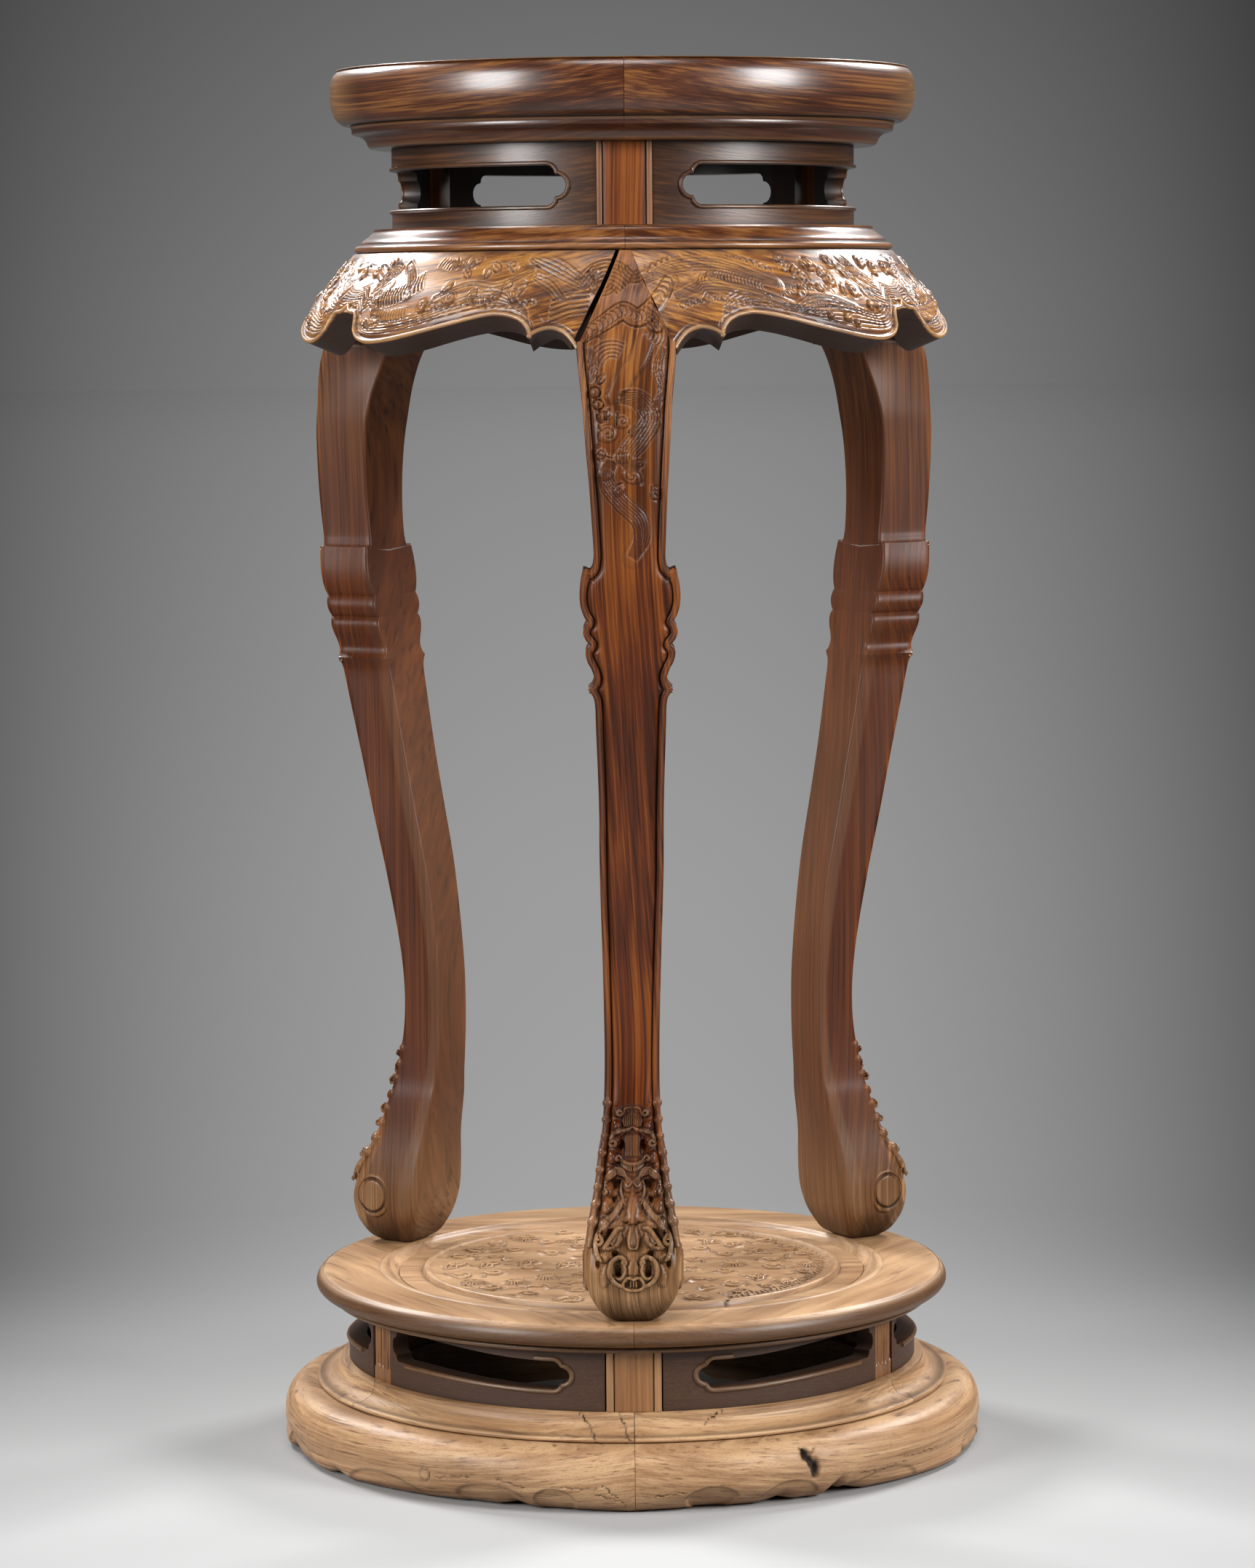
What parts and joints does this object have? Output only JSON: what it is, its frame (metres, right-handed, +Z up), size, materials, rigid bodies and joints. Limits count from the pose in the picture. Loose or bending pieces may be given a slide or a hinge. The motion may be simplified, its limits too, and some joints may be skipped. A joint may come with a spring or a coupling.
{
  "type": "incense stand",
  "caption": "Round three-legged carved hardwood stand with a slotted high waist, S-shaped legs on ball feet and a round slotted base.",
  "frame": {"origin": "on the axis of the stand, at the floor under the plinth", "axes": "+Z up along the stand's axis; the front leg stands on -Y, the other two at 120 degrees to it"},
  "size_m": [0.4716, 0.4716, 0.92],
  "materials": {
    "polished_wood": "polished dark red-brown hardwood",
    "waist_wood": "satin dark red-brown hardwood",
    "carved_wood": "satin golden brown hardwood, carved in low relief",
    "leg_wood": "satin red-brown hardwood, worn on the edges",
    "base_wood": "satin tan-brown hardwood, worn",
    "weathered_wood": "dry, weathered pale hardwood with cracks",
    "hidden_wood": "plain unpolished hardwood"
  },
  "bodies": {
    "root": {"top_rim_right": "polished_wood", "waist_board_right": "waist_wood", "collar_right": "polished_wood", "apron_right": "carved_wood", "base_rim_right": "base_wood", "base_strut_right": "weathered_wood", "plinth_right": "weathered_wood", "top_rim_back": "polished_wood", "waist_board_back": "waist_wood", "collar_back": "polished_wood", "apron_back": "carved_wood", "base_rim_back": "base_wood", "base_strut_back": "weathered_wood", "plinth_back": "weathered_wood", "top_rim_left": "polished_wood", "waist_board_left": "waist_wood", "collar_left": "polished_wood", "apron_left": "carved_wood", "base_rim_left": "base_wood", "base_strut_left": "weathered_wood", "plinth_left": "weathered_wood", "leg_front": "leg_wood", "base_post_front": "base_wood", "leg_right": "leg_wood", "base_post_right": "base_wood", "leg_left": "leg_wood", "base_post_left": "base_wood", "base_board_front_right": "base_wood", "base_moulding_front_right": "weathered_wood", "base_board_right": "base_wood", "base_moulding_right": "weathered_wood", "base_board_back_right": "base_wood", "base_moulding_back_right": "weathered_wood", "base_board_back_left": "base_wood", "base_moulding_back_left": "weathered_wood", "base_board_left": "base_wood", "base_moulding_left": "weathered_wood", "base_board_front_left": "base_wood", "base_moulding_front_left": "weathered_wood", "top_panel": "polished_wood", "top_batten": "hidden_wood", "base_panel": "base_wood", "base_batten": "hidden_wood"}
  },
  "joints": []
}
